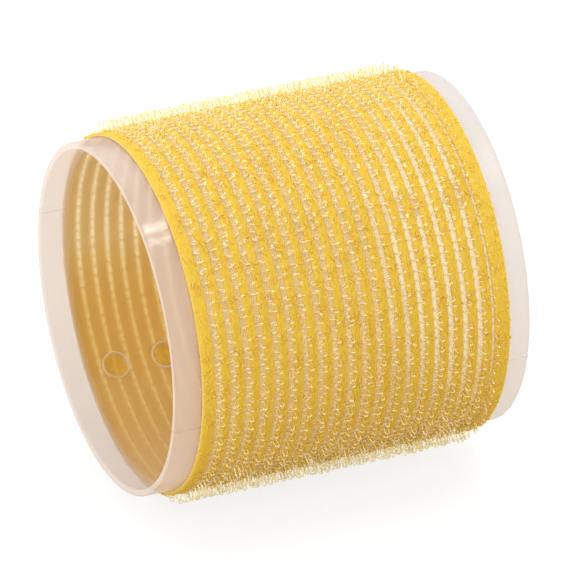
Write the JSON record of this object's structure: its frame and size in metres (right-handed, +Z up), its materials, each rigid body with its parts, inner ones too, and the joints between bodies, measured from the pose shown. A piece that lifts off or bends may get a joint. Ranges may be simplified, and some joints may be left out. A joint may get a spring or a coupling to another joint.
{
  "type": "self-gripping hair roller",
  "caption": "Jumbo self-gripping hair roller: a translucent vented plastic core tube wrapped in woven hook tape with clear hook rows between raised yellow bands.",
  "frame": {"origin": "centre of the core tube, on its axis, midway between its two end rims", "axes": "+X along the tube's axis from the wider bare band to the narrower one, +Z up as the roller lies on its side, +Y away from the side with the first line of vent holes below it"},
  "size_m": [0.063, 0.0644, 0.0644],
  "materials": {
    "core_plastic": "translucent, satin",
    "hot_melt": "translucent film",
    "web_yarn": "woven",
    "gold_yarn": "brushed multifilament yarn",
    "clear_monofilament": "clear, glossy"
  },
  "bodies": {
    "root": {"core_tube": "core_plastic", "adhesive_film": "hot_melt", "ground_web": "web_yarn", "selvedge_near": "gold_yarn", "selvedge_far": "gold_yarn", "warp_band_01": "gold_yarn", "warp_band_02": "gold_yarn", "warp_band_03": "gold_yarn", "warp_band_04": "gold_yarn", "warp_band_05": "gold_yarn", "warp_band_06": "gold_yarn", "warp_band_07": "gold_yarn", "warp_band_08": "gold_yarn", "warp_band_09": "gold_yarn", "warp_band_10": "gold_yarn", "warp_band_11": "gold_yarn", "warp_band_12": "gold_yarn", "warp_band_13": "gold_yarn", "warp_band_14": "gold_yarn", "warp_band_15": "gold_yarn", "warp_band_16": "gold_yarn", "warp_band_17": "gold_yarn", "warp_band_18": "gold_yarn", "warp_band_19": "gold_yarn", "hook_row_01": "clear_monofilament", "hook_row_02": "clear_monofilament", "hook_row_03": "clear_monofilament", "hook_row_04": "clear_monofilament", "hook_row_05": "clear_monofilament", "hook_row_06": "clear_monofilament", "hook_row_07": "clear_monofilament", "hook_row_08": "clear_monofilament", "hook_row_09": "clear_monofilament", "hook_row_10": "clear_monofilament", "hook_row_11": "clear_monofilament", "hook_row_12": "clear_monofilament", "hook_row_13": "clear_monofilament", "hook_row_14": "clear_monofilament", "hook_row_15": "clear_monofilament", "hook_row_16": "clear_monofilament", "hook_row_17": "clear_monofilament", "hook_row_18": "clear_monofilament", "hook_row_19": "clear_monofilament", "hook_row_20": "clear_monofilament"}
  },
  "joints": []
}
